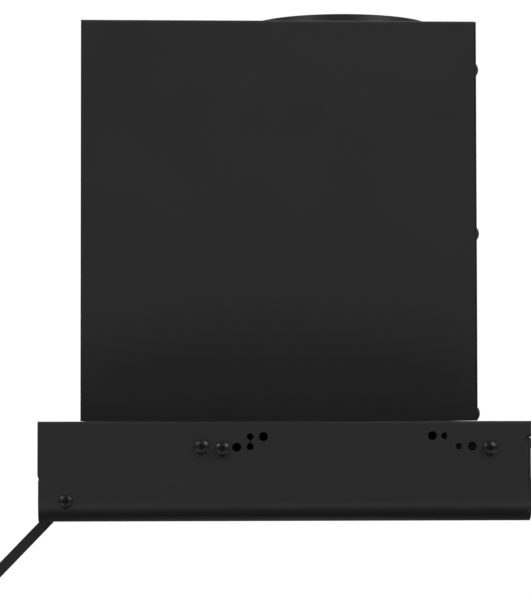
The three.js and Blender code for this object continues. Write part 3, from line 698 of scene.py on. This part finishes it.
def make_buttons():
    """Keys with a flange, soft shoulders and a dished face, each with its row of raised pips."""
    for i in range(1, 6):
        node = f"button_{i}"
        centre, lo, hi = place_of(node)
        flange = (KEY_FLANGE_W, KEY_FLANGE_H, KEY_FLANGE_R)
        face = (KEY_W, KEY_H, KEY_R)
        step = hi.y - KEY_FLANGE_T
        rows = [(*flange, hi.y), (*flange, step), (*face, step), (*face, lo.y + KEY_SHOULDER)]
        for k in range(1, 6):
            a = math.radians(18 * k)
            inset = KEY_SHOULDER * (1 - math.cos(a))
            rows.append((KEY_W - 2 * inset, KEY_H - 2 * inset, KEY_R - inset * 0.6,
                         lo.y + KEY_SHOULDER * (1 - math.sin(a))))
        for trim, corner, dip in ((3.2 * MM, 0.6 * MM, 0.12 * MM), (5.0 * MM, 0.3 * MM, 0.28 * MM)):
            rows.append((KEY_W - trim, KEY_H - trim, corner, lo.y + dip))
        rings = []
        for rw, rh, rr, y in rows:
            rings.append([(centre.x + x, y, centre.z + z) for x, z in round_rect(rw, rh, rr)])
        key = loft(node + "_fine", rings)
        sharpen(key.data, 40)
        finish_piece(key, BUTTON, f"push_{i}", [node])
        bm = bmesh.new()
        pips = max(i - 1, 1)
        pip_y = lo.y + 0.3 * MM
        for k in range(pips):
            x = centre.x + (k - (pips - 1) / 2) * PIP_PITCH
            spot = Matrix.Translation((x, pip_y, centre.z))
            made = bmesh.ops.create_uvsphere(bm, u_segments=20, v_segments=10, radius=PIP_R,
                                             matrix=spot)
            for v in made["verts"]:
                v.co.y = pip_y + (v.co.y - pip_y) * 0.5
        marks = mesh_object(node + "_pips", bm)
        finish_piece(marks, CREAM, f"push_{i}")


def expanded_metal(name, lo, hi):
    """Sheet of diamond openings from lo to hi at height lo.z, its strands as slim bars."""
    bm = bmesh.new()
    nx, ny = int((hi[0] - lo[0]) / CELL_X), int((hi[1] - lo[1]) / CELL_Y)
    cell_x, cell_y = (hi[0] - lo[0]) / nx, (hi[1] - lo[1]) / ny

    def strand(a, b, lift):
        d = Vector((b[0] - a[0], b[1] - a[1], 0)).normalized()
        side = Vector((-d.y, d.x, 0)) * STRAND_W / 2
        verts = []
        for p, dz in ((a, -lift), (b, lift)):
            base = Vector((p[0], p[1], lo[2] + dz))
            for s, t in ((1, 0), (-1, 0), (-1, 1), (1, 1)):
                verts.append(bm.verts.new(base + side * s + Vector((0, 0, STRAND_T * t))))
        for k in range(4):
            j = (k + 1) % 4
            bm.faces.new((verts[k], verts[j], verts[4 + j], verts[4 + k]))
        bm.faces.new(verts[0:4])
        bm.faces.new(verts[4:8])

    for i in range(nx):
        for j in range(ny):
            x, y = lo[0] + i * cell_x, lo[1] + j * cell_y
            mid_x, mid_y = x + cell_x / 2, y + cell_y / 2
            corners = ((x, mid_y), (mid_x, y), (x + cell_x, mid_y), (mid_x, y + cell_y))
            for k in range(4):
                lift = STRAND_T * 0.35 * (1 if k % 2 else -1)
                strand(corners[k], corners[(k + 1) % 4], lift)
    return mesh_object(name, bm, smooth=False)


def make_filters():
    """A diamond mesh face below each pleated medium."""
    for side in SIDES:
        lo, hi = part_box("filter_mesh_" + side)
        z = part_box("filter_frame_" + side)[0].z + 1.75 * MM
        inset = 0.6 * MM
        face = expanded_metal(f"filter_face_{side}", (lo.x + inset, lo.y + inset, z),
                              (hi.x - inset, hi.y - inset, z))
        finish_piece(face, ALU, "hood")


def make_gland():
    """Cable gland: hexagonal body against the box, ribbed dome nut with an open bore, thread."""
    centre, lo, hi = place_of("cable_gland")
    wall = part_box("junction_box")[1].y
    hex_r = (hi.x - lo.x) / 2
    tip = hi.y - wall

    def hexagon(a):
        return math.cos(math.pi / 6) / math.cos((a % (math.pi / 3)) - math.pi / 6)

    def ribs(a):
        return 1.0 + 0.035 * math.cos(14 * a)

    body = [(GLAND_BORE, 0.3 * MM), (hex_r, 0.3 * MM), (hex_r, 4.6 * MM),
            (hex_r - 0.5 * MM, 5 * MM), (GLAND_BORE, 5 * MM)]
    base = lathe("gland_body", body, 96, hexagon, closed=True)
    dome = [(4.2 * MM, 5.2 * MM), (8.6 * MM, 5.2 * MM), (NUT_R, 6 * MM), (NUT_R, 11.5 * MM)]
    dome += arc(6.2 * MM, 11.5 * MM, 2.6 * MM, 0, 70, 6)[1:]
    dome += [(4.9 * MM, tip), (4.2 * MM, tip - 1 * MM)]
    nut = lathe("gland_nut", dome, 112, ribs, closed=True)
    thread = [(GLAND_BORE, -8 * MM), (7 * MM, -8 * MM), (7 * MM, 0.29 * MM),
              (GLAND_BORE, 0.29 * MM)]
    tail = lathe("gland_thread", thread, 64, closed=True)
    for piece in (base, nut, tail):
        sharpen(piece.data, 28)
        settle(piece, axis_frame((0, 1, 0), (centre.x, wall, centre.z)))
    finish_piece(base, PLASTIC, "hood", ["cable_gland"])
    finish_piece(nut, PLASTIC, "hood")
    finish_piece(tail, PLASTIC, "hood")


def make_lid_screws():
    """Corner screws that hold the junction box lid."""
    centre, lo, hi = place_of("junction_lid")
    shape = screw_mesh("lid_screw_shape", *LID_SCREW)
    for i, (sx, sy) in enumerate(((1, 1), (-1, 1), (-1, -1), (1, -1))):
        x = centre.x + sx * ((hi.x - lo.x) / 2 - LID_SCREW_INSET)
        y = centre.y + sy * ((hi.y - lo.y) / 2 - LID_SCREW_INSET)
        piece = copy_of(shape, f"lid_screw_{i + 1}")
        settle(piece, Matrix.Translation((x, y, hi.z)) @ Matrix.Rotation(0.7 * i, 4, "Z"))
        finish_piece(piece, BLACK_ZINC, "hood")
    bpy.data.objects.remove(shape)


def visor_frame_matrix():
    """From the visor's level layout (+Y along it, z = 0 its mid plane) to its rest place."""
    joint = next(j for j in frame["joints"] if j["name"] == "visor_hinge")
    turn = Matrix.Rotation(-math.radians(VISOR_OPEN_DEG), 4, "X")
    return Matrix.Translation(joint["pos_m"]) @ turn


def make_visor_trim():
    """Printed black border on the visor glass and two rubber stops near its free edge."""
    to_rest = visor_frame_matrix()
    rings = []
    mid, length = (PANE_Y0 + PANE_Y1) / 2, PANE_Y1 - PANE_Y0
    low, high = PANE_TOP, PANE_TOP + BORDER_T
    for inset, z in ((0, low), (0, high), (BORDER_W, high), (BORDER_W, low)):
        outline = round_rect(2 * (PANE_HALF - inset), length - 2 * inset, 3 * MM)
        rings.append([(x, mid + y, z) for x, y in outline])
    rings.append(rings[0])
    border = loft("visor_glass_border", rings, close_ends=False)
    bm = bmesh.new()
    bm.from_mesh(border.data)
    bmesh.ops.remove_doubles(bm, verts=bm.verts, dist=1e-7)
    bm.to_mesh(border.data)
    bm.free()
    settle(border, to_rest)
    finish_piece(border, ENAMEL, "visor")
    for i, s in enumerate((-1, 1)):
        profile = [(0, 0), (4.5 * MM, 0)]
        profile += arc(3.3 * MM, 2.2 * MM, 1.2 * MM, 0, 90, 5) + [(0, 3.4 * MM)]
        stop = lathe(f"visor_stop_{i + 1}", profile, 40)
        settle(stop, to_rest @ Matrix.Translation((s * STOP_X, STOP_Y, STOP_Z)))
        finish_piece(stop, RUBBER, "visor")


make_camera()
make_stage()

# ---------- finishes ----------
PAINT = powder_coat("black_powder_coat", (0.024, 0.0243, 0.0247))
# Same black coat as the canopy, made a shade lighter on the housing: painted light for the brighter
# light that the housing side catches.
PAINT_HOUSING_LIT = powder_coat("black_powder_coat_housing_lit", (0.025, 0.0253, 0.0257), rough=0.5)
ZINC = galvanised("zinc_plate")
BLACK_ZINC = metal("black_zinc", (0.05, 0.051, 0.053), 0.42, tint=(0.038, 0.038, 0.04))
STEEL = metal("bright_steel", (0.6, 0.6, 0.61), 0.25)
ALU = metal("satin_aluminium", (0.66, 0.67, 0.68), 0.36, stretch=(1, 30, 30), grain=220.0)
CAST = metal("cast_alloy", (0.46, 0.47, 0.48), 0.5, grain=500.0, depth=0.00004)
RIM = powder_coat("visor_rim", (0.024, 0.0245, 0.025), rough=0.4)
PLASTIC = plastic("black_moulding", (0.022, 0.0225, 0.0235), 0.5)
BUTTON = plastic("grey_button", (0.2, 0.205, 0.21), 0.33, depth=0.000006)
CREAM = plastic("cream_moulding", (0.7, 0.69, 0.63), 0.42)
GLASS = smoked_glass("smoked_glass")
LENS = frosted("frosted_lens")
ENAMEL = plastic("black_enamel", (0.012, 0.012, 0.013), 0.22, depth=0.000003)
RUBBER = plastic("black_rubber", (0.018, 0.018, 0.018), 0.72, grain=900.0, depth=0.00003, spec=0.3)

NODES = frame["nodes"]
dress(BLACK_ZINC, 0, *[name for name in NODES if "screw" in name])
dress(PAINT, ROUND_SHEET, "canopy_shell", "canopy_rear_panel", "suction_frame", "control_strip")
dress(PAINT_HOUSING_LIT, ROUND_SHEET, "motor_housing", "rear_cover")
dress(PAINT, 0, "side_rail_right", "side_rail_left")
dress(ZINC, 0, "scroll_band", "scroll_side_right", "scroll_side_left", "motor_bracket",
      "lamp_body_right", "lamp_body_left")
for side in SIDES:
    dress(ALU, ROUND_EDGE, "filter_frame_" + side)
    dress(ALU, 0, "filter_mesh_" + side)
    dress(PLASTIC, ROUND_SHEET, "filter_latch_" + side)
    dress(LENS, 0, "lamp_lens_" + side)
    dress(PLASTIC, 0, "pivot_bush_" + side)
dress(RIM, ROUND_EDGE, "visor_frame")
dress(GLASS, ROUND_EDGE, "visor_glass")
dress(CAST, 0, "impeller")
dress(CAST, ROUND_MOTOR, "motor_body")
dress(STEEL, 0, "motor_shaft")
dress(PLASTIC, ROUND_SHEET, "outlet_collar")
dress(PLASTIC, ROUND_MOULDING, "damper_flap_front", "damper_flap_rear", "switch_block",
      "junction_box", "junction_lid", "cable_gland")
dress(CREAM, ROUND_CAN, "capacitor")
dress(CREAM, ROUND_MOULDING, "terminal_block")
dress(BUTTON, ROUND_MOULDING, *[f"button_{i}" for i in range(1, 6)])

make_screws()
make_collar()
make_lenses()
make_buttons()
make_filters()
make_gland()
make_lid_screws()
make_visor_trim()
